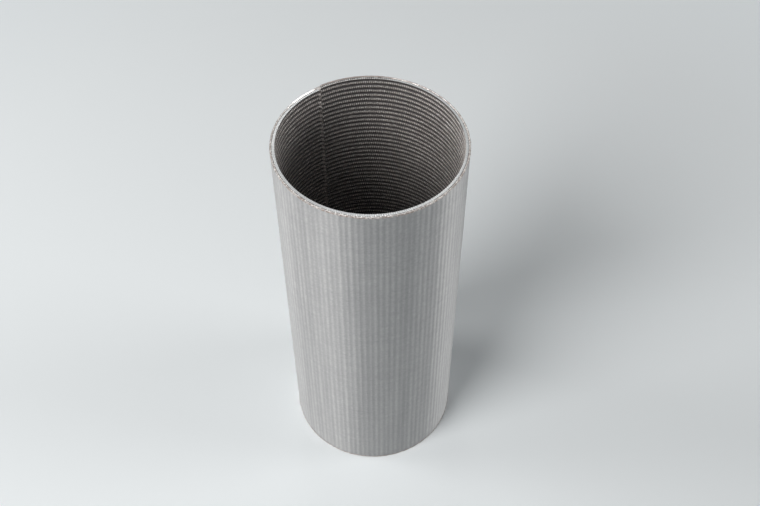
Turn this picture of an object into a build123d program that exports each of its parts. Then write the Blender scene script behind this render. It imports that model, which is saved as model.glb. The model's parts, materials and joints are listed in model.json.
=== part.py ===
from build123d import *

import os
from math import cos, pi, sin

# A filter tube, rolled from bonded stainless wire cloth and closed by one lengthwise butt weld.
# Millimetres, +Z up. The tube stands on end, with the origin at the centre of its lower rim.

# Tube
outer_diameter = 70.0
tube_length = 165.0

# Wall: the fine filter cloths outside, bonded to the coarse support cloth inside
filter_thickness = 0.6
support_thickness = 1.1

# Weave of the coarse cloths. Their wires lie one pitch apart, as rings on the inner face
# and as faint lengthwise ridges where they print through the fine cloths on the outer face.
inch = 25.4
wires_per_inch = 12
ring_height = 0.35
flute_depth = 0.12
flute_share = 0.5

# Rings are cut this far in from each mouth. Between the two ringed lengths the bore is plain, at
# the height of the crests, which keeps the faces few.
ringed_depth = 22.0

# Sheared edge at each mouth, where the ring wires are pressed to a plain band
mouth_band = 0.8

# Butt weld, made from outside into a V and dressed flush on both faces
weld_azimuth = 124.0
weld_face_width = 2.4
weld_root_width = 1.2
weld_setback = 0.5

# Radii and pitch that follow from the sizes above
outer_radius = outer_diameter / 2
bond_radius = outer_radius - filter_thickness
bore_radius = bond_radius - support_thickness
wire_pitch = inch / wires_per_inch


def on_circle(radius, angle):
    """Point in plan at an angle in radians."""
    return (radius * cos(angle), radius * sin(angle))


def weld_bar(low, high):
    """Bar with the weld's V section between two heights, run past both faces of the wall."""
    past = (outer_radius - bore_radius) / 2
    flare = (weld_face_width - weld_root_width) / 2 / (outer_radius - bore_radius)
    inner_half = weld_root_width / 2 - flare * past
    outer_half = weld_face_width / 2 + flare * past
    corners = [
        (bore_radius - past, -inner_half),
        (outer_radius + past, -outer_half),
        (outer_radius + past, outer_half),
        (bore_radius - past, inner_half),
    ]
    section = make_face(Polyline(*corners, close=True))
    bar = extrude(section, amount=high - low, dir=(0, 0, 1))
    return Rot(0, 0, weld_azimuth) * Pos(0, 0, low) * bar


def seam_gap():
    """Space between the two bevelled edges of the rolled sheet, open at both rims."""
    return weld_bar(-weld_face_width, tube_length + weld_face_width)


def ring_profile(start, rings, step):
    """Inner face of some rings, from a crest at height start, going up or down by step."""
    points = [(bore_radius, start)]
    for ring in range(rings):
        crest = start + ring * step
        points.append((bore_radius + ring_height, crest + step / 2))
        points.append((bore_radius, crest + step))
    return points


def support_weave():
    """Inner cloth: a turned wall with a plain band and a row of rings at each mouth."""
    room = tube_length / 2 - mouth_band
    rings = int(min(ringed_depth, room) / wire_pitch)
    lower = ring_profile(mouth_band, rings, wire_pitch)
    upper = ring_profile(tube_length - mouth_band, rings, -wire_pitch)
    face = [(bore_radius, 0.0), *lower, *reversed(upper), (bore_radius, tube_length)]
    back = [(bond_radius, tube_length), (bond_radius, 0.0)]
    section = make_face(Plane.XZ * Polyline(*face, *back, close=True))
    return revolve(section, Axis.Z, 360) - seam_gap()


def filter_weave():
    """Outer cloths: a wall with shallow lengthwise grooves between the wires that print through."""
    flutes = round(pi * outer_diameter / wire_pitch)
    turn = 2 * pi / flutes
    outline = []
    for flute in range(flutes):
        start = flute * turn
        crest = (1 - flute_share) * turn
        crest_start = on_circle(outer_radius, start)
        crest_middle = on_circle(outer_radius, start + crest / 2)
        crest_end = on_circle(outer_radius, start + crest)
        groove = on_circle(outer_radius - flute_depth, start + (crest + turn) / 2)
        next_crest = on_circle(outer_radius, start + turn)
        outline.append(ThreePointArc(crest_start, crest_middle, crest_end))
        outline.append(Line(crest_end, groove))
        outline.append(Line(groove, next_crest))
    plan = make_face(outline) - Circle(bond_radius)
    return extrude(plan, amount=tube_length, dir=(0, 0, 1)) - seam_gap()


def seam_weld():
    """Weld metal that fills the gap, flush with both faces and stopped short of both rims."""
    ring = extrude(Circle(outer_radius) - Circle(bore_radius), amount=tube_length, dir=(0, 0, 1))
    return ring & weld_bar(weld_setback, tube_length - weld_setback)


parts = {
    "support_weave": support_weave(),
    "filter_weave": filter_weave(),
    "seam_weld": seam_weld(),
}

os.makedirs("parts", exist_ok=True)
for name, solid in parts.items():
    export_step(solid, f"parts/{name}.step")
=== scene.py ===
"""Looks of a sintered metal filter tube: woven cloths, cut rims and weld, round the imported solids.

Each cloth is modelled as a flat woven sheet and then rolled up, as the real tube is made. A flat
sheet lies in the XZ plane: X runs round the tube, Z along it, and +Y points to the tube's axis.
"""

import json
from math import cos, pi, radians, sin

import bpy
import numpy as np
from mathutils import Euler, Matrix, Vector


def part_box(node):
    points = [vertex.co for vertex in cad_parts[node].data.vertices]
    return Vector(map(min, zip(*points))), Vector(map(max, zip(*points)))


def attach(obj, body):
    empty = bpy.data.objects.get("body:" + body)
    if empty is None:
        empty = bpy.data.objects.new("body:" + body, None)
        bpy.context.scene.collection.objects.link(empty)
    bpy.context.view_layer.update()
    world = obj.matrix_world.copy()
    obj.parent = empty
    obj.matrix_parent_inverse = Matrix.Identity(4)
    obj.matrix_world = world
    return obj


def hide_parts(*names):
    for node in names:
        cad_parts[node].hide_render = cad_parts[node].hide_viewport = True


bl_info = {
    "name": "Sintered filter tube",
    "version": (1, 0, 0),
    "blender": (4, 5, 0),
    "location": "3D View > Sidebar > Filter tube",
    "description": "Models the woven wall, the cut rims and the weld of a sintered filter tube",
    "category": "Object",
}

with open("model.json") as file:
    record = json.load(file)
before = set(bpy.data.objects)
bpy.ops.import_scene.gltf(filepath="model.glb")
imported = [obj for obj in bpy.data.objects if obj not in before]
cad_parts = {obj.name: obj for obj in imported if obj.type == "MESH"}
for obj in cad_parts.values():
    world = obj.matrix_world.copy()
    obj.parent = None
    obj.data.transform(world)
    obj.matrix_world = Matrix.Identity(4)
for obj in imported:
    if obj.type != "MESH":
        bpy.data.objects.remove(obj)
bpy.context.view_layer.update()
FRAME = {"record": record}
MM = 0.001
INCH = 25.4 * MM
BODY = "root"

# Points this close to a mouth belong to its rim
RIM_REACH = 0.3 * MM

# Points this close to a place count as lying there
TOUCH = 0.01 * MM

# Length of sheared edge, from the seam, that was ground smooth
GROUND_REACH = 11 * MM


def mount_radius(name):
    """Radius of one of the record's round mounts, in metres."""
    mounts = {mount["name"]: mount for mount in FRAME["record"]["mounts"]}
    return mounts[name]["dims"]["r_mm"] * MM


def node_top(node):
    """Highest corner of a solid, in metres."""
    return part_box(node)[1]


class TubeSizes(bpy.types.PropertyGroup):
    """Sizes of the rolled wall, taken from the solids where they have them."""

    outer_radius: bpy.props.FloatProperty(
        name="Outer radius", description="Radius over the crests of the fine cloth",
        default=mount_radius("outer_wall"), unit="LENGTH", precision=5)
    bond_radius: bpy.props.FloatProperty(
        name="Bond radius", description="Radius where the fine and the coarse cloth are bonded",
        default=node_top("support_weave").x, unit="LENGTH", precision=5)
    bore_radius: bpy.props.FloatProperty(
        name="Bore radius", description="Radius inside the crests of the rings",
        default=mount_radius("inner_bore"), unit="LENGTH", precision=5)
    height: bpy.props.FloatProperty(
        name="Height", description="Length of the tube from rim to rim",
        default=node_top("filter_weave").z, unit="LENGTH", precision=5)
    seam_azimuth: bpy.props.FloatProperty(
        name="Seam azimuth", description="Where the weld lies, from +X towards +Y",
        default=radians(124.0), unit="ROTATION")
    face_gap: bpy.props.FloatProperty(
        name="Weld face width", description="Gap between the edges of the fine cloth",
        default=2.4 * MM, unit="LENGTH", precision=5)
    root_gap: bpy.props.FloatProperty(
        name="Weld root width", description="Gap between the edges of the coarse cloth",
        default=1.2 * MM, unit="LENGTH", precision=5)
    seam_setback: bpy.props.FloatProperty(
        name="Weld setback", description="How far the weld stops short of each rim",
        default=0.5 * MM, unit="LENGTH", precision=5)
    seam_step: bpy.props.FloatProperty(
        name="Seam step", description="How far one edge of the rolled sheet lies inside the other",
        default=0.6 * MM, unit="LENGTH", precision=5)
    out_of_round: bpy.props.FloatProperty(
        name="Out of round", description="How far the rolled wall leaves a true circle",
        default=0.15 * MM, unit="LENGTH", precision=5)


class WeaveSizes(bpy.types.PropertyGroup):
    """Spacing and relief of the wires."""

    coarse_wires: bpy.props.FloatProperty(
        name="Coarse wires to the inch", description="Thick wires of the support cloths", default=12.0)
    thin_wires: bpy.props.FloatProperty(
        name="Thin wires to the inch", description="Thin wires packed across the coarse ones", default=64.0)
    fine_mesh: bpy.props.FloatProperty(
        name="Fine mesh", description="Wires to the inch of the outermost cloth", default=100.0)
    ring_relief: bpy.props.FloatProperty(
        name="Ring relief", description="Depth of the valleys between the rings inside",
        default=0.42 * MM, unit="LENGTH", precision=5)
    crown_relief: bpy.props.FloatProperty(
        name="Crown relief", description="Depth between the crowns along a ring",
        default=0.22 * MM, unit="LENGTH", precision=5)
    print_relief: bpy.props.FloatProperty(
        name="Print relief", description="Depth of the coarse wires' print on the outer face",
        default=0.12 * MM, unit="LENGTH", precision=5)
    print_crown: bpy.props.FloatProperty(
        name="Print crown", description="Depth between the crowns along a printed wire",
        default=0.03 * MM, unit="LENGTH", precision=5)
    unevenness: bpy.props.FloatProperty(
        name="Unevenness", description="How far a wire may lie off its place",
        default=0.02 * MM, unit="LENGTH", precision=5)
    burr: bpy.props.FloatProperty(
        name="Burr", description="Height of the burrs on the sheared edges of the fine cloth",
        default=0.15 * MM, unit="LENGTH", precision=5)


class FinishColours(bpy.types.PropertyGroup):
    """Colours of the metal."""

    # Crests lighter than the valleys: partly polish, partly painted shade in the grooves between the printed
    # wires
    cloth_crest: bpy.props.FloatVectorProperty(
        name="Fine cloth, crests", description="Metal of the outer face where it stands proud",
        subtype="COLOR", size=3, default=(0.46, 0.455, 0.45))
    cloth_valley: bpy.props.FloatVectorProperty(
        name="Fine cloth, valleys", description="Metal of the outer face between the printed wires",
        subtype="COLOR", size=3, default=(0.25, 0.25, 0.255))
    # Crowns: bright as polish, and brighter still as a painted highlight
    ring_crest_polish_and_highlight: bpy.props.FloatVectorProperty(
        name="Coarse cloth, crowns", description="Metal of the inner face where wires stand proud",
        subtype="COLOR", size=3, default=(0.97, 0.89, 0.84))
    # Valleys: darkened between the rings as painted shade
    ring_valley_shade: bpy.props.FloatVectorProperty(
        name="Coarse cloth, valleys", description="Metal of the inner face between the rings",
        subtype="COLOR", size=3, default=(0.09, 0.083, 0.083))
    # Crowns worn bright, made brighter still as painted glints
    speck_wear_and_glint: bpy.props.FloatVectorProperty(
        name="Coarse cloth, specks", description="Single crowns that are worn bright",
        subtype="COLOR", size=3, default=(1.0, 0.97, 0.94))
    rim: bpy.props.FloatVectorProperty(
        name="Rim", description="Pressed wire at the mouths of the coarse cloth",
        subtype="COLOR", size=3, default=(0.66, 0.66, 0.655))
    weld_bright: bpy.props.FloatVectorProperty(
        name="Weld, bright", description="Tops of the weld's lumps",
        subtype="COLOR", size=3, default=(0.95, 0.89, 0.85))
    # In the hollows of the weld's inner face this dull colour also carries painted shade
    weld_dull: bpy.props.FloatVectorProperty(
        name="Weld, dull", description="Hollows of the weld",
        subtype="COLOR", size=3, default=(0.30, 0.27, 0.26))
    edge_bright: bpy.props.FloatVectorProperty(
        name="Sheared edge, bright", description="Wire ends that the shears left bare",
        subtype="COLOR", size=3, default=(1.0, 0.95, 0.91))
    edge_dull: bpy.props.FloatVectorProperty(
        name="Sheared edge, dull", description="Scale and gaps between the wire ends",
        subtype="COLOR", size=3, default=(0.33, 0.26, 0.23))


class StageSettings(bpy.types.PropertyGroup):
    """Floor, light and camera."""

    floor_colour: bpy.props.FloatVectorProperty(
        name="Floor", description="Plain pale floor",
        subtype="COLOR", size=3, default=(0.84, 0.88, 0.90))
    backdrop: bpy.props.FloatVectorProperty(
        name="Backdrop", description="Plain pale distance",
        subtype="COLOR", size=3, default=(0.64, 0.68, 0.70))
    key_power: bpy.props.FloatProperty(
        name="Key light", description="Soft light from high at the left front", default=14.0, unit="POWER")
    left_power: bpy.props.FloatProperty(
        name="Left light", description="Soft light from low at the left", default=10.0, unit="POWER")
    right_power: bpy.props.FloatProperty(
        name="Right light", description="Soft light from low at the right", default=9.0, unit="POWER")
    back_power: bpy.props.FloatProperty(
        name="Back light", description="Small light behind the tube that picks out its rim",
        default=0.4, unit="POWER")
    lamp_colour: bpy.props.FloatVectorProperty(
        name="Lamp colour", description="Slightly warm light", subtype="COLOR", size=3,
        default=(1.0, 0.985, 0.97))
    room_strength: bpy.props.FloatProperty(
        name="Room light", description="Share of the backdrop that lights the room", default=0.11)


def coarse_pitch():
    """From one thick wire of the coarse cloth to the next, in metres."""
    return INCH / bpy.context.scene.weave_sizes.coarse_wires


def clear_selection():
    """Leaves edit mode and deselects everything."""
    if bpy.context.object and bpy.context.object.mode != "OBJECT":
        bpy.ops.object.mode_set(mode="OBJECT")
    bpy.ops.object.select_all(action="DESELECT")


def make_active(piece):
    """Makes one piece the only selected and active object."""
    clear_selection()
    piece.select_set(True)
    bpy.context.view_layer.objects.active = piece


def apply_place(piece):
    """Puts the object's place, turn and scale into its mesh."""
    make_active(piece)
    bpy.ops.object.transform_apply(location=True, rotation=True, scale=True)


def points(piece):
    """The piece's vertices as an array of rows x, y, z."""
    flat = np.empty(len(piece.data.vertices) * 3)
    piece.data.vertices.foreach_get("co", flat)
    return flat.reshape(-1, 3)


def everything(place):
    """A mask of every vertex."""
    return np.ones(len(place), dtype=bool)


def select_points(piece, mask):
    """Goes into edit mode with just the masked vertices selected."""
    make_active(piece)
    bpy.ops.object.mode_set(mode="EDIT")
    bpy.ops.mesh.select_mode(type="VERT")
    bpy.ops.mesh.select_all(action="DESELECT")
    bpy.ops.object.mode_set(mode="OBJECT")
    piece.data.vertices.foreach_set("select", np.asarray(mask, dtype=bool))
    bpy.ops.object.mode_set(mode="EDIT")


def shift_points(piece, mask, offset):
    """Moves the masked vertices by an offset."""
    select_points(piece, mask)
    bpy.ops.transform.translate(value=offset)
    bpy.ops.object.mode_set(mode="OBJECT")


def roughen(piece, mask, amount, seed):
    """Puts the masked vertices a little off their place."""
    select_points(piece, mask)
    bpy.ops.transform.vertex_random(offset=amount, uniform=0.0, normal=0.0, seed=seed)
    bpy.ops.object.mode_set(mode="OBJECT")


def flat_grid(name, width, height, columns, rows):
    """A sheet of squares in the XZ plane, centred on X and standing on Z 0."""
    clear_selection()
    bpy.ops.mesh.primitive_grid_add(x_subdivisions=columns, y_subdivisions=rows, size=1.0)
    sheet = bpy.context.object
    sheet.name = sheet.data.name = name
    sheet.scale = (width, height, 1.0)
    sheet.rotation_euler = (pi / 2, 0.0, 0.0)
    sheet.location = (0.0, 0.0, height / 2)
    apply_place(sheet)
    return sheet


def lower_open_rim(sheet, height, drop):
    """Moves the open border's two rims towards the middle of the sheet."""
    bpy.ops.object.mode_set(mode="OBJECT")
    border = np.empty(len(sheet.data.vertices), dtype=bool)
    sheet.data.vertices.foreach_get("select", border)
    along = points(sheet)[:, 2]
    shift_points(sheet, border & (along < RIM_REACH), (0.0, 0.0, drop))
    shift_points(sheet, border & (along > height - RIM_REACH), (0.0, 0.0, -drop))


def back_with_wall(sheet, width, height, rim_profile):
    """Gives a flat relief its cut edges and its back, which lies in the plane Y 0.

    Each row of rim_profile is a share of the wall that is left behind the rim, from 1 at the face
    to 0 at the back, and how far the rim lies back there.
    """
    near = 1e-3 * MM
    left = 1.0
    for share, drop in rim_profile:
        select_points(sheet, ~everything(points(sheet)))
        bpy.ops.mesh.select_non_manifold(extend=False)
        if share < left:
            bpy.ops.mesh.extrude_region_move(TRANSFORM_OT_translate={"value": (0.0, 0.0, 0.0)})
            bpy.ops.transform.resize(value=(1.0, share / left, 1.0), center_override=(0.0, 0.0, 0.0))
            left = share
        lower_open_rim(sheet, height, drop)

    place = points(sheet)
    back = abs(place[:, 1]) < near
    inside = (place[:, 2] > RIM_REACH) & (place[:, 2] < height - RIM_REACH)
    ends = abs(place[:, 0]) > width / 2 - near
    select_points(sheet, back & inside & ends)
    bpy.ops.mesh.dissolve_verts()
    bpy.ops.object.mode_set(mode="OBJECT")

    place = points(sheet)
    select_points(sheet, abs(place[:, 1]) < near)
    bpy.ops.mesh.select_mode(type="EDGE")
    bpy.ops.object.mode_set(mode="OBJECT")
    rim_edges = []
    for edge in sheet.data.edges:
        first, last = (place[v] for v in edge.vertices)
        flat = abs(first[1]) < near and abs(last[1]) < near
        rim_edges.append(flat and abs(first[2] - last[2]) < near)
    sheet.data.edges.foreach_set("select", rim_edges)
    sheet.data.polygons.foreach_set("select", [False] * len(sheet.data.polygons))
    sheet.data.vertices.foreach_set("select", [False] * len(sheet.data.vertices))
    bpy.ops.object.mode_set(mode="EDIT")
    bpy.ops.mesh.bridge_edge_loops()
    bpy.ops.mesh.select_mode(type="VERT")
    bpy.ops.mesh.select_all(action="SELECT")
    bpy.ops.mesh.normals_make_consistent(inside=False)
    bpy.ops.object.mode_set(mode="OBJECT")


def remember_flat_place(piece, height, crest, valley):
    """Keeps each vertex's place on the flat sheet in mm, its relief from 0 to 1, and 1 on the rims."""
    place = points(piece)
    flat = piece.data.attributes.new("flat_mm", "FLOAT_VECTOR", "POINT")
    flat.data.foreach_set("vector", (place / MM).ravel())
    relief = piece.data.attributes.new("relief", "FLOAT", "POINT")
    relief.data.foreach_set("value", np.clip((place[:, 1] - valley) / (crest - valley), 0.0, 1.0))
    rim = piece.data.attributes.new("rim", "FLOAT", "POINT")
    rim.data.foreach_set("value", (abs(place[:, 2] - height / 2) > height / 2 - RIM_REACH).astype(float))


def bow_sheet(piece, width, height):
    """Bends the flat sheet with a lattice, so that it rolls up out of round, with a step at the seam."""
    sizes = bpy.context.scene.tube_sizes
    # Shares of a turn: where the oval is narrow, and how far the step at the seam reaches
    oval_phase, step_reach = 0.22, 0.13
    step_falloff = 1.5
    clear_selection()
    bpy.ops.object.add(type="LATTICE", location=(0.0, 0.0, height / 2))
    cage = bpy.context.object
    cage.scale = (width, sizes.bond_radius, height)
    cage.data.points_u, cage.data.points_v, cage.data.points_w = 33, 2, 2
    cage.data.interpolation_type_u = "KEY_BSPLINE"
    for point in cage.data.points:
        turn = point.co.x + 0.5
        wave = sizes.out_of_round * cos(2 * pi * (2 * turn - oval_phase))
        step = sizes.seam_step * max(0.0, 1.0 - turn / step_reach) ** step_falloff
        point.co_deform.y = point.co.y + (step - wave) / sizes.bond_radius
    make_active(piece)
    bend = piece.modifiers.new("bow", "LATTICE")
    bend.object = cage
    bpy.ops.object.modifier_apply(modifier=bend.name)
    bpy.data.objects.remove(cage)


def roll_up(piece):
    """Rolls a flat piece round the tube's axis, with its ends meeting at the seam."""
    sizes = bpy.context.scene.tube_sizes
    place = points(piece)
    width = place[:, 0].max() - place[:, 0].min()
    make_active(piece)
    bend = piece.modifiers.new("roll", "SIMPLE_DEFORM")
    bend.deform_method = "BEND"
    bend.deform_axis = "Z"
    bend.angle = width / sizes.bond_radius
    bpy.ops.object.modifier_apply(modifier=bend.name)
    piece.location = (0.0, -sizes.bond_radius, 0.0)
    apply_place(piece)
    piece.rotation_euler = (0.0, 0.0, sizes.seam_azimuth - pi / 2)
    apply_place(piece)


def smooth(piece, angle=radians(50.0)):
    """Shades the piece smooth, apart from its sharp edges."""
    make_active(piece)
    bpy.ops.object.shade_smooth_by_angle(angle=angle)


class Signal:
    """A value that varies over a surface. Sums written with it become shader nodes."""

    def __init__(self, finish, socket):
        self.finish = finish
        self.socket = socket

    def combine(self, operation, first, second):
        return self.finish.node("ShaderNodeMath", {"operation": operation}, {0: first, 1: second})

    def __add__(self, other):
        return self.combine("ADD", self, other)

    def __radd__(self, other):
        return self.combine("ADD", other, self)

    def __sub__(self, other):
        return self.combine("SUBTRACT", self, other)

    def __rsub__(self, other):
        return self.combine("SUBTRACT", other, self)

    def __mul__(self, other):
        return self.combine("MULTIPLY", self, other)

    def __rmul__(self, other):
        return self.combine("MULTIPLY", other, self)

    def __truediv__(self, other):
        return self.combine("DIVIDE", self, other)

    def __rtruediv__(self, other):
        return self.combine("DIVIDE", other, self)


class Shading:
    """Adds shader nodes to one node tree."""

    def __init__(self, tree):
        self.tree = tree

    def node(self, kind, settings=None, inputs=None, output=0):
        """Adds a node with its settings and the values or links of its sockets."""
        made = self.tree.nodes.new(kind)
        for setting, value in (settings or {}).items():
            if setting == "stops":
                self.set_stops(made.color_ramp, value)
            else:
                setattr(made, setting, value)
        for socket, value in (inputs or {}).items():
            self.feed(made.inputs[socket], value)
        return Signal(self, made.outputs[output])

    def set_stops(self, ramp, stops):
        """Gives a ramp its stops, each a place and a grey level."""
        while len(ramp.elements) < len(stops):
            ramp.elements.new(1.0)
        for element, (place, level) in zip(ramp.elements, stops):
            element.position = place
            element.color = (level, level, level, 1.0)

    def feed(self, socket, value):
        """Links or sets one socket."""
        if isinstance(value, Signal):
            self.tree.links.new(value.socket, socket)
        else:
            socket.default_value = value

    def looked_at(self):
        """1 where a backdrop is looked at, straight or in metal, and 0 where it only gives light."""
        path = self.node("ShaderNodeLightPath").socket.node.outputs
        seen = Signal(self, path["Is Camera Ray"]) + Signal(self, path["Is Glossy Ray"])
        return seen + Signal(self, path["Is Transmission Ray"])

    def attribute(self, name, output):
        """Reads one of the piece's own attributes."""
        return self.node("ShaderNodeAttribute", {"attribute_name": name}, output=output)

    def flat_place(self):
        """Place on the flat sheet in mm, as a vector and as its parts round and along the tube."""
        vector = self.attribute("flat_mm", "Vector")
        around, _, along = self.split(vector)
        return vector, around, along

    def split(self, vector):
        """The vector's three parts."""
        made = self.node("ShaderNodeSeparateXYZ", {}, {0: vector})
        return [Signal(self, socket) for socket in made.socket.node.outputs]

    def cosine(self, angle):
        """Cosine of an angle in radians."""
        return self.node("ShaderNodeMath", {"operation": "COSINE"}, {0: angle})

    def weave(self, around, along, pitch_around, pitch_along):
        """From 0 to 1: crowns that stand at every second crossing of two sets of wires."""
        across = self.cosine(around * (pi / pitch_around))
        return across * self.cosine(along * (pi / pitch_along)) * 0.5 + 0.5

    def noise(self, vector, scale, detail=3.0, roughness=0.5):
        """Fractal noise from 0 to 1."""
        inputs = {"Vector": vector, "Scale": scale, "Detail": detail, "Roughness": roughness}
        return self.node("ShaderNodeTexNoise", {}, inputs)

    def stretched(self, vector, scale):
        """The vector with its three parts scaled apart."""
        return self.node("ShaderNodeVectorMath", {"operation": "MULTIPLY"}, {0: vector, 1: scale})

    def ramp(self, value, *stops):
        """Maps a value through grey stops."""
        return self.node("ShaderNodeValToRGB", {"stops": stops}, {"Fac": value})

    def rise(self, value, low, high):
        """0 where the value is below low, 1 where it is above high, and in between it rises evenly."""
        return self.ramp(value, (low, 0.0), (high, 1.0))

    def mix(self, factor, first, second):
        """Mixes two colours."""
        made = self.tree.nodes.new("ShaderNodeMix")
        made.data_type = "RGBA"
        for socket, value in (("Factor_Float", factor), ("A_Color", first), ("B_Color", second)):
            chosen = next(s for s in made.inputs if s.identifier == socket)
            self.feed(chosen, (*value, 1.0) if isinstance(value, tuple) else value)
        result = next(s for s in made.outputs if s.identifier == "Result_Color")
        return Signal(self, result)

    def bump(self, height, distance, strength):
        """Bends the shading normal by a height from 0 to 1 over a distance in metres."""
        inputs = {"Height": height, "Distance": distance, "Strength": strength}
        return self.node("ShaderNodeBump", {}, inputs)


class Finish(Shading):
    """A surface finish: one material with its shader and the nodes that feed it."""

    def __init__(self, name):
        self.material = bpy.data.materials.new(name)
        self.material.use_nodes = True
        super().__init__(self.material.node_tree)
        self.tree.nodes.clear()
        self.shader = self.tree.nodes.new("ShaderNodeBsdfPrincipled")
        output = self.tree.nodes.new("ShaderNodeOutputMaterial")
        self.tree.links.new(self.shader.outputs["BSDF"], output.inputs["Surface"])

    def set(self, **values):
        """Sets or links the shader's own sockets, with underscores for the spaces in their names."""
        for name, value in values.items():
            self.feed(self.shader.inputs[name.replace("_", " ")], value)

    def give(self, piece):
        """Makes this the piece's only material."""
        piece.data.materials.clear()
        piece.data.materials.append(self.material)


def half_way_round():
    """From the middle of the flat sheet to either end, in mm."""
    return pi * bpy.context.scene.tube_sizes.bond_radius / MM


def fine_cloth_finish():
    """Satin steel of the outer face: a fine mesh over the print of the coarse wires."""
    colours = bpy.context.scene.finish_colours
    finish = Finish("fine_cloth_steel")
    place, around, along = finish.flat_place()
    wire = INCH / MM / bpy.context.scene.weave_sizes.fine_mesh
    mesh = finish.weave(around, along, wire, wire)
    streaks = finish.noise(finish.stretched(place, (1.0, 1.0, 0.05)), 0.55, 4.0, 0.65)
    bands = finish.noise(finish.stretched(place, (0.04, 1.0, 1.0)), 0.5, 3.0, 0.6)
    clouds = finish.noise(place, 0.06, 3.0, 0.5)
    grain = finish.noise(place, 1.3, 3.0, 0.7)
    beads = finish.rise(finish.noise(place, 0.75, 1.0, 0.5), 0.35, 0.65)
    ridge_wear_and_shade = finish.ramp(finish.noise(place, 0.35, 2.0, 0.6), (0.25, 0.6), (0.7, 1.0))
    ridges = finish.attribute("relief", "Fac") * ridge_wear_and_shade
    # What each pattern adds to the share of the crest colour; the printed ridges add partly polish on their
    # crests and partly painted shade in the grooves between them
    level = (
        ridges * (0.38 + beads * 0.22)
        + finish.rise(streaks, 0.3, 0.7) * 0.2
        + finish.rise(bands, 0.3, 0.7) * 0.1
        + finish.rise(grain, 0.25, 0.75) * 0.3
        + mesh * 0.12
    )
    finish.set(
        Base_Color=finish.mix(level, tuple(colours.cloth_valley), tuple(colours.cloth_crest)),
        Metallic=0.9,
        Anisotropic=0.75,
        Anisotropic_Rotation=0.25,
        Roughness=0.58 + clouds * 0.08,
        Normal=finish.bump(mesh * 0.5 + grain * 0.5, 0.06 * MM, 0.5),
    )
    return finish


def darker_rim_stretch(finish, around):
    """1 along the stretch of the rims next to the seam that is coloured darker, and 0 elsewhere."""
    reach = 32.0
    return finish.ramp((half_way_round() - around) / reach, (0.75, 1.0), (1.0, 0.0))


def coarse_cloth_finish(thin_pitch, ring_pitch):
    """Duller, warmer steel of the inner face, bright on the crowns as partly polish and partly painted
    highlight, and dark in the valleys between the rings as painted shade.
    """
    colours = bpy.context.scene.finish_colours
    finish = Finish("coarse_cloth_steel")
    place, around, along = finish.flat_place()
    grain = finish.noise(place, 3.0, 2.0, 0.6)
    patches = finish.noise(place, 0.4, 3.0, 0.6)
    # Single crowns that are worn bright, made brighter still as painted glints
    specks = finish.rise(finish.noise(place, 1.1, 1.0, 0.5), 0.48, 0.62)
    rings = finish.cosine(along * (2 * pi / ring_pitch)) * 0.5 + 0.5
    crowns = rings * finish.weave(around, along, thin_pitch, ring_pitch)
    # Brighter by height: painted shade in the valleys between the rings, and on the crowns partly polish and
    # partly painted highlight
    level = finish.attribute("relief", "Fac") * 0.45 + crowns * 0.55
    level = finish.ramp(level, (0.0, 0.0), (0.4, 0.12), (0.65, 0.75), (0.85, 1.0))
    level = level * finish.ramp(patches, (0.3, 0.75), (0.65, 1.0)) + (grain - 0.5) * 0.2
    wires = finish.mix(level, tuple(colours.ring_valley_shade), tuple(colours.ring_crest_polish_and_highlight))
    wires = finish.mix(specks * crowns, wires, tuple(colours.speck_wear_and_glint))
    cut = finish.rise(finish.attribute("rim", "Fac"), 0.75, 0.95)
    cut = cut * (1.0 - 0.85 * darker_rim_stretch(finish, around))
    finish.set(
        Base_Color=finish.mix(cut * 0.9, wires, tuple(colours.rim)),
        Metallic=0.8,
        Roughness=0.72 - crowns * 0.2 - specks * crowns * 0.2 - cut * 0.1,
        Normal=finish.bump(rings * 0.45 + crowns * 0.5 + grain * 0.05, 0.45 * MM, 0.9),
    )
    return finish


def sheared_edge_finish():
    """Sheared wire ends: warm brown scale with bare bright specks."""
    colours = bpy.context.scene.finish_colours
    finish = Finish("sheared_edge_steel")
    place, around, _ = finish.flat_place()
    reach = 30.0
    # Next to the seam the edge is ground smooth, and its colour is raised to bright as a painted highlight
    ground_and_highlight = finish.ramp(
        (around + half_way_round()) / reach, (0.04, 0.0), (0.1, 1.0), (0.35, 1.0), (0.6, 0.0))
    specks = finish.rise(finish.noise(place, 1.4, 2.0, 0.6), 0.46, 0.6)
    patches = finish.noise(finish.stretched(place, (1.0, 0.0, 0.0)), 0.35, 2.0, 0.5)
    patches = finish.rise(patches, 0.35, 0.65)
    outermost = finish.rise(0.0 - finish.split(place)[1], 0.38, 0.55)
    level = 0.15 + specks * 0.6 + patches * 0.25 - outermost * 0.35 + ground_and_highlight
    level = level * (1.0 - 0.7 * darker_rim_stretch(finish, around))
    finish.set(
        Base_Color=finish.mix(level, tuple(colours.edge_dull), tuple(colours.edge_bright)),
        Metallic=0.9,
        Roughness=0.5 - specks * 0.15 * (1.0 - ground_and_highlight) - ground_and_highlight * 0.32,
        Normal=finish.bump(specks * (1.0 - ground_and_highlight), 0.08 * MM, 0.6),
    )
    return finish


def weld_finish():
    """Weld metal, bright on its lumps and dull between them, with painted shade in the hollows of its inner
    face.
    """
    colours = bpy.context.scene.finish_colours
    finish = Finish("weld_steel")
    place = finish.node("ShaderNodeTexCoord", output="Object")
    lumps = finish.noise(place, 900.0, 3.0, 0.6)
    inner = finish.attribute("inner", "Fac")
    # Darkened in the hollows of the inner face as painted shade
    level = finish.rise(lumps, 0.4, 0.62) * (1.0 - finish.attribute("hollow", "Fac") * 0.9)
    level = level * inner + (0.25 + level * 0.25) * (1.0 - inner)
    finish.set(
        Base_Color=finish.mix(level, tuple(colours.weld_dull), tuple(colours.weld_bright)),
        Metallic=0.8,
        Roughness=0.6 - level * 0.2,
        Normal=finish.bump(lumps, 0.1 * MM, 0.6),
    )
    return finish


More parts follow.
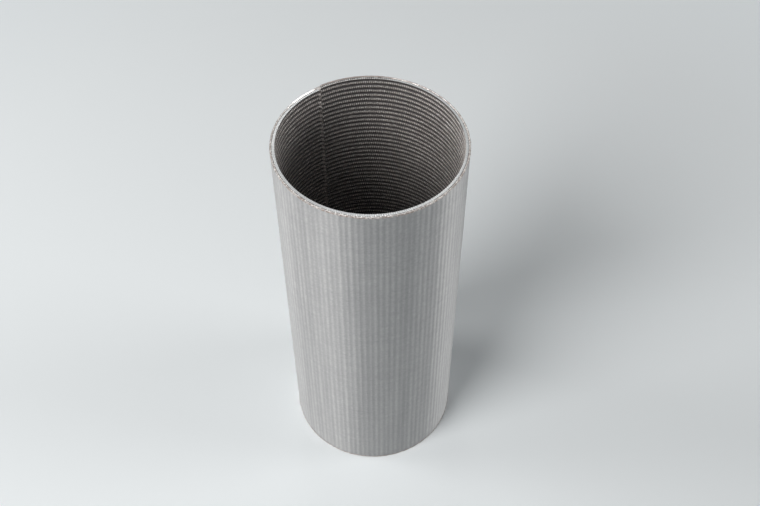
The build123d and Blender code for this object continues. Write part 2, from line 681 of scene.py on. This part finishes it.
class MODEL_OT_coarse_cloth(bpy.types.Operator):
    """Models the coarse inner cloth, its crowns standing in rings, and rolls it up"""

    bl_idname = "filter_tube.coarse_cloth"
    bl_label = "Coarse inner cloth"

    def execute(self, context):
        sizes, weave = context.scene.tube_sizes, context.scene.weave_sizes
        angle = 2 * pi - sizes.root_gap / sizes.bore_radius
        width = angle * sizes.bond_radius
        columns = 4 * round(width / INCH * weave.thin_wires / 4)
        rings = round(sizes.height / coarse_pitch())
        crest = sizes.bond_radius - sizes.bore_radius
        loose_reach, looseness = 3.0 * MM, 4 * weave.unevenness
        cloth = flat_grid("coarse_cloth", width, sizes.height, columns, 2 * rings)

        place = points(cloth)
        column = np.rint((place[:, 0] / width + 0.5) * columns).astype(int)
        row = np.rint(place[:, 2] / sizes.height * 2 * rings).astype(int)
        rim = (row == 0) | (row == 2 * rings)
        ring = row % 2 == 0
        crown = ring & ((column + row // 2) % 2 == 0)
        loose = abs(place[:, 0]) > width / 2 - loose_reach
        shift_points(cloth, everything(place), (0.0, crest - weave.ring_relief, 0.0))
        shift_points(cloth, ring, (0.0, weave.ring_relief - weave.crown_relief, 0.0))
        shift_points(cloth, crown | rim, (0.0, weave.crown_relief, 0.0))
        roughen(cloth, ~rim, weave.unevenness, seed=3)
        roughen(cloth, ~rim & loose, looseness, seed=4)

        round_rim = ((1.0, 0.14 * MM), (0.8, 0.02 * MM), (0.5, 0.0), (0.2, 0.03 * MM), (0.0, 0.12 * MM))
        back_with_wall(cloth, width, sizes.height, round_rim)
        remember_flat_place(cloth, sizes.height, crest, crest - weave.ring_relief)
        bow_sheet(cloth, width, sizes.height)
        roll_up(cloth)
        smooth(cloth)
        coarse_cloth_finish(width / columns / MM, sizes.height / rings / MM).give(cloth)
        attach(cloth, BODY)
        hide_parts("support_weave")
        return {"FINISHED"}


class MODEL_OT_fine_cloth(bpy.types.Operator):
    """Models the fine outer cloth with the print of the coarse wires under it, and rolls it up"""

    bl_idname = "filter_tube.fine_cloth"
    bl_label = "Fine outer cloth"

    def execute(self, context):
        sizes, weave = context.scene.tube_sizes, context.scene.weave_sizes
        angle = 2 * pi - sizes.face_gap / sizes.outer_radius
        width = angle * sizes.bond_radius
        ridges = round(angle * sizes.outer_radius / coarse_pitch())
        rows = round(sizes.height / INCH * weave.thin_wires / 2)
        crest = sizes.bond_radius - sizes.outer_radius
        per_ridge, flank_height, faint_share = 4, 0.45, 0.3
        columns = per_ridge * ridges
        cloth = flat_grid("fine_cloth", width, sizes.height, columns, rows)

        place = points(cloth)
        column = np.rint((place[:, 0] / width + 0.5) * columns).astype(int)
        row = np.rint(place[:, 2] / sizes.height * rows).astype(int)
        rim = (row == 0) | (row == rows)
        ridge = column % per_ridge == per_ridge // 2
        flank = column % 2 == 1
        crown = ridge & ((row + column // per_ridge) % 2 == 0)
        faint = np.random.default_rng(11).random(ridges + 1)[column // per_ridge] < faint_share
        shift_points(cloth, everything(place), (0.0, crest + weave.print_relief, 0.0))
        shift_points(cloth, ridge, (0.0, weave.print_crown - weave.print_relief, 0.0))
        shift_points(cloth, flank, (0.0, -flank_height * weave.print_relief, 0.0))
        shift_points(cloth, crown, (0.0, -weave.print_crown, 0.0))
        shift_points(cloth, (ridge | flank) & faint, (0.0, weave.print_crown, 0.0))
        roughen(cloth, ~rim, 0.5 * weave.unevenness, seed=5)

        plain_rim = ((1.0, 0.12 * MM), (0.0, 0.2 * MM))
        back_with_wall(cloth, width, sizes.height, plain_rim)
        remember_flat_place(cloth, sizes.height, crest, crest + weave.print_relief)
        bow_sheet(cloth, width, sizes.height)
        roll_up(cloth)
        smooth(cloth)
        fine_cloth_finish().give(cloth)
        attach(cloth, BODY)
        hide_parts("filter_weave")
        return {"FINISHED"}


def edge_strip(name, width, end, outward, seed):
    """The sheared ends of the fine wires at one mouth, as a burred strip in the flat sheet."""
    sizes, weave = bpy.context.scene.tube_sizes, bpy.context.scene.weave_sizes
    wall = sizes.outer_radius - sizes.bond_radius
    strip_width = 0.92 * wall
    long_share, bent_share = 0.16, 0.07
    wire_ends = round(width / INCH * weave.fine_mesh)
    clear_selection()
    bpy.ops.mesh.primitive_grid_add(x_subdivisions=wire_ends, y_subdivisions=4, size=1.0)
    strip = bpy.context.object
    strip.name = strip.data.name = name
    strip.scale = (width, strip_width, 1.0)
    strip.location = (0.0, -0.5 * wall, end - outward * weave.burr)
    apply_place(strip)

    place = points(strip)
    outer = place[:, 1] < -0.9 * wall
    inner = place[:, 1] > -0.1 * wall
    draw = np.random.default_rng(seed).random(len(place))
    rough = place[:, 0] > GROUND_REACH - width / 2
    shift_points(strip, rough & (outer | inner), (0.0, 0.0, -outward * 0.5 * weave.burr))
    rough &= ~inner
    roughen(strip, rough, 0.5 * weave.burr, seed)
    shift_points(strip, rough & (draw < long_share), (0.0, 0.0, outward * 0.6 * weave.burr))
    shift_points(strip, outer & (draw > 1.0 - bent_share), (0.0, -0.5 * weave.burr, 0.0))
    select_points(strip, everything(place))
    bpy.ops.mesh.extrude_region_move(TRANSFORM_OT_translate={"value": (0.0, 0.0, -outward * 3 * weave.burr)})
    bpy.ops.mesh.select_all(action="SELECT")
    bpy.ops.mesh.normals_make_consistent(inside=False)
    bpy.ops.object.mode_set(mode="OBJECT")
    return strip


class MODEL_OT_sheared_edges(bpy.types.Operator):
    """Models the sheared wire ends of the fine cloth round both mouths"""

    bl_idname = "filter_tube.sheared_edges"
    bl_label = "Sheared edges"

    def execute(self, context):
        sizes = context.scene.tube_sizes
        width = (2 * pi - sizes.face_gap / sizes.outer_radius) * sizes.bond_radius
        lower = edge_strip("lower_edge", width, 0.0, -1.0, 21)
        edges = edge_strip("sheared_edges", width, sizes.height, 1.0, 22)
        lower.select_set(True)
        bpy.ops.object.join()
        remember_flat_place(edges, sizes.height, crest=1.0, valley=0.0)
        bow_sheet(edges, width, sizes.height)
        roll_up(edges)
        smooth(edges)
        sheared_edge_finish().give(edges)
        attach(edges, BODY)
        return {"FINISHED"}


class MODEL_OT_seam(bpy.types.Operator):
    """Models the rippled weld that closes the rolled sheet"""

    bl_idname = "filter_tube.seam"
    bl_label = "Seam weld"

    def execute(self, context):
        sizes = context.scene.tube_sizes
        length = sizes.height - 2 * sizes.seam_setback
        count = round(length / coarse_pitch())
        bead = self.add_ripple(length / count)
        self.repeat_ripple(bead, length / count, count)
        roughen(bead, everything(points(bead)), 0.07 * MM, seed=8)
        self.raise_lumps(bead)
        bead.rotation_euler = (0.0, 0.0, sizes.seam_azimuth - pi / 2)
        apply_place(bead)
        smooth(bead)
        weld_finish().give(bead)
        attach(bead, BODY)
        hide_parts("seam_weld")
        return {"FINISHED"}

    def add_ripple(self, height):
        """The weld's lowest ripple, as it lies at azimuth 90 degrees."""
        sizes, weave = bpy.context.scene.tube_sizes, bpy.context.scene.weave_sizes
        cuts = 5
        crown_half_width, crown_height = 0.8 * MM, 0.04 * MM
        hollow_depth = 0.8 * weave.ring_relief
        wall = sizes.outer_radius - sizes.bore_radius
        clear_selection()
        bpy.ops.mesh.primitive_cube_add(size=1.0)
        bead = bpy.context.object
        bead.name = bead.data.name = "seam_bead"
        bead.scale = (sizes.face_gap, wall, height)
        bead.location = (0.0, sizes.outer_radius - wall / 2, sizes.seam_setback + height / 2)
        apply_place(bead)

        place = points(bead)
        select_points(bead, place[:, 1] < sizes.bore_radius + wall / 2)
        bpy.ops.transform.resize(value=(sizes.root_gap / sizes.face_gap, 1.0, 1.0))
        bpy.ops.mesh.select_all(action="SELECT")
        bpy.ops.mesh.subdivide(number_cuts=cuts)
        bpy.ops.object.mode_set(mode="OBJECT")

        place = points(bead)
        outside = (place[:, 1] > sizes.outer_radius - TOUCH) & (abs(place[:, 0]) < crown_half_width)
        inside = place[:, 1] < sizes.bore_radius + TOUCH
        for cut in range(cuts + 2):
            step = height * cut / (cuts + 1)
            level = abs(place[:, 2] - sizes.seam_setback - step) < TOUCH
            swell = 0.5 + 0.5 * cos(2 * pi * (step + sizes.seam_setback) / coarse_pitch())
            shift_points(bead, outside & level, (0.0, crown_height * swell, 0.0))
            shift_points(bead, inside & level, (0.0, hollow_depth * (1 - swell), 0.0))

        inner = bead.data.attributes.new("inner", "FLOAT", "POINT")
        inner.data.foreach_set("value", inside.astype(float))
        # How deep each inner point lies in a hollow, for painted shade there
        hollow = bead.data.attributes.new("hollow", "FLOAT", "POINT")
        depth = (points(bead)[:, 1] - sizes.bore_radius) / hollow_depth
        hollow.data.foreach_set("value", np.where(inside, np.clip(depth, 0.0, 1.0), 0.0))
        return bead

    def repeat_ripple(self, bead, height, count):
        """Stacks copies of the ripple and joins them."""
        stack = bead.modifiers.new("ripples", "ARRAY")
        stack.use_relative_offset = False
        stack.use_constant_offset = True
        stack.constant_offset_displace = (0.0, 0.0, height)
        stack.count = count
        stack.use_merge_vertices = True
        stack.merge_threshold = TOUCH
        make_active(bead)
        bpy.ops.object.modifier_apply(modifier=stack.name)

    def raise_lumps(self, bead):
        """Raises some drops of weld metal on the inner face near both mouths."""
        sizes = bpy.context.scene.tube_sizes
        lump_height, lump_share = 0.2 * MM, 0.3
        face_depth, half_width, reach = 0.3 * MM, 0.5 * MM, 12 * MM
        place = points(bead)
        lump = (place[:, 1] < sizes.bore_radius + face_depth) & (abs(place[:, 0]) < half_width)
        lump &= abs(place[:, 2] - sizes.height / 2) > sizes.height / 2 - reach
        lump &= np.random.default_rng(9).random(len(place)) < lump_share
        shift_points(bead, lump, (0.0, -lump_height, 0.0))


class MODEL_OT_stage(bpy.types.Operator):
    """Adds the floor, the lights and the camera"""

    bl_idname = "filter_tube.stage"
    bl_label = "Floor, light and camera"

    def execute(self, context):
        self.add_floor(context)
        self.add_lights(context)
        self.add_camera(context)
        return {"FINISHED"}

    def add_floor(self, context):
        """A pale floor that fades into the backdrop some way from the tube."""
        settings = context.scene.stage_settings
        floor_side, fade_start, fade_end = 6.0, 0.28, 0.64
        ramp_reach = 2.0
        clear_selection()
        bpy.ops.mesh.primitive_plane_add(size=floor_side)
        floor = context.object
        floor.name = "floor"
        finish = Finish("pale_floor")
        place = finish.node("ShaderNodeTexCoord", output="Object")
        away = finish.node("ShaderNodeVectorMath", {"operation": "LENGTH"}, {0: place}, output="Value")
        far = finish.rise(away / ramp_reach, fade_start / ramp_reach, fade_end / ramp_reach)
        black = (0.0, 0.0, 0.0)
        finish.set(
            Base_Color=finish.mix(far, tuple(settings.floor_colour), black),
            Roughness=0.9,
            Specular_IOR_Level=0.1,
            Emission_Color=finish.mix(far * finish.looked_at(), black, tuple(settings.backdrop)),
            Emission_Strength=1.0,
        )
        finish.give(floor)

    def add_lights(self, context):
        """Four soft lamps round the tube, and a little light from the room."""
        settings = context.scene.stage_settings
        self.add_lamp("key", settings.key_power, size=0.8, azimuth=222, elevation=41, distance=1.3)
        self.add_lamp("left", settings.left_power, size=0.7, azimuth=172, elevation=15, distance=1.5)
        self.add_lamp("right", settings.right_power, size=0.7, azimuth=0, elevation=15, distance=1.5)
        self.add_lamp("back", settings.back_power, size=0.25, azimuth=98, elevation=44, distance=0.9)
        world = bpy.data.worlds.new("room")
        context.scene.world = world
        world.use_nodes = True
        background = world.node_tree.nodes["Background"]
        background.inputs["Color"].default_value = (*settings.backdrop, 1.0)
        shading = Shading(world.node_tree)
        strength = shading.looked_at() * (1.0 - settings.room_strength) + settings.room_strength
        shading.feed(background.inputs["Strength"], strength)

    def add_lamp(self, name, power, size, azimuth, elevation, distance):
        """A round lamp aimed at the middle of the tube, with its angles in degrees."""
        settings = bpy.context.scene.stage_settings
        aimed_at = Vector((0.0, 0.0, 0.08))
        turn, rise = radians(azimuth), radians(elevation)
        away = Vector((cos(turn) * cos(rise), sin(turn) * cos(rise), sin(rise)))
        bpy.ops.object.light_add(type="AREA", location=aimed_at + away * distance)
        lamp = bpy.context.object
        lamp.name = f"{name}_light"
        lamp.data.shape = "DISK"
        lamp.data.size = size
        lamp.data.energy = power
        lamp.data.color = settings.lamp_colour
        lamp.rotation_euler = (-away).to_track_quat("-Z", "Y").to_euler()

    def add_camera(self, context):
        """The photograph's camera, which stands in front of the tube and looks down on it."""
        focal_pixels, image_width, sensor = 1024.6, 760, 36.0
        downward, roll = radians(51.07), radians(-0.19)
        standing_at = (0.0033, -0.2544, 0.4185)
        bpy.ops.object.camera_add(location=standing_at)
        camera = context.object
        camera.data.sensor_width = sensor
        camera.data.lens = focal_pixels / image_width * sensor
        camera.data.clip_start = 0.01
        turn = Euler((pi / 2 - downward, 0.0, 0.0)).to_matrix() @ Matrix.Rotation(roll, 3, "Z")
        camera.rotation_euler = turn.to_euler()
        context.scene.camera = camera
        context.scene.view_settings.view_transform = "Standard"


class VIEW3D_PT_filter_tube(bpy.types.Panel):
    """Lists the steps of the model"""

    bl_idname = "VIEW3D_PT_filter_tube"
    bl_label = "Filter tube"
    bl_space_type = "VIEW_3D"
    bl_region_type = "UI"
    bl_category = "Filter tube"

    def draw(self, context):
        for step in STEPS:
            self.layout.operator(step.bl_idname)


SETTINGS = {
    "tube_sizes": TubeSizes,
    "weave_sizes": WeaveSizes,
    "finish_colours": FinishColours,
    "stage_settings": StageSettings,
}
STEPS = (
    MODEL_OT_coarse_cloth,
    MODEL_OT_fine_cloth,
    MODEL_OT_sheared_edges,
    MODEL_OT_seam,
    MODEL_OT_stage,
)


def register():
    """Registers the settings, the steps and the panel."""
    for group in SETTINGS.values():
        bpy.utils.register_class(group)
    for name, group in SETTINGS.items():
        setattr(bpy.types.Scene, name, bpy.props.PointerProperty(type=group))
    for step in STEPS:
        bpy.utils.register_class(step)
    bpy.utils.register_class(VIEW3D_PT_filter_tube)


def unregister():
    """Takes back what register did."""
    bpy.utils.unregister_class(VIEW3D_PT_filter_tube)
    for step in reversed(STEPS):
        bpy.utils.unregister_class(step)
    for name in SETTINGS:
        delattr(bpy.types.Scene, name)
    for group in reversed(SETTINGS.values()):
        bpy.utils.unregister_class(group)


def main():
    """Models the tube."""
    register()
    bpy.ops.filter_tube.coarse_cloth()
    bpy.ops.filter_tube.fine_cloth()
    bpy.ops.filter_tube.sheared_edges()
    bpy.ops.filter_tube.seam()
    bpy.ops.filter_tube.stage()


if __name__ == "__main__":
    main()
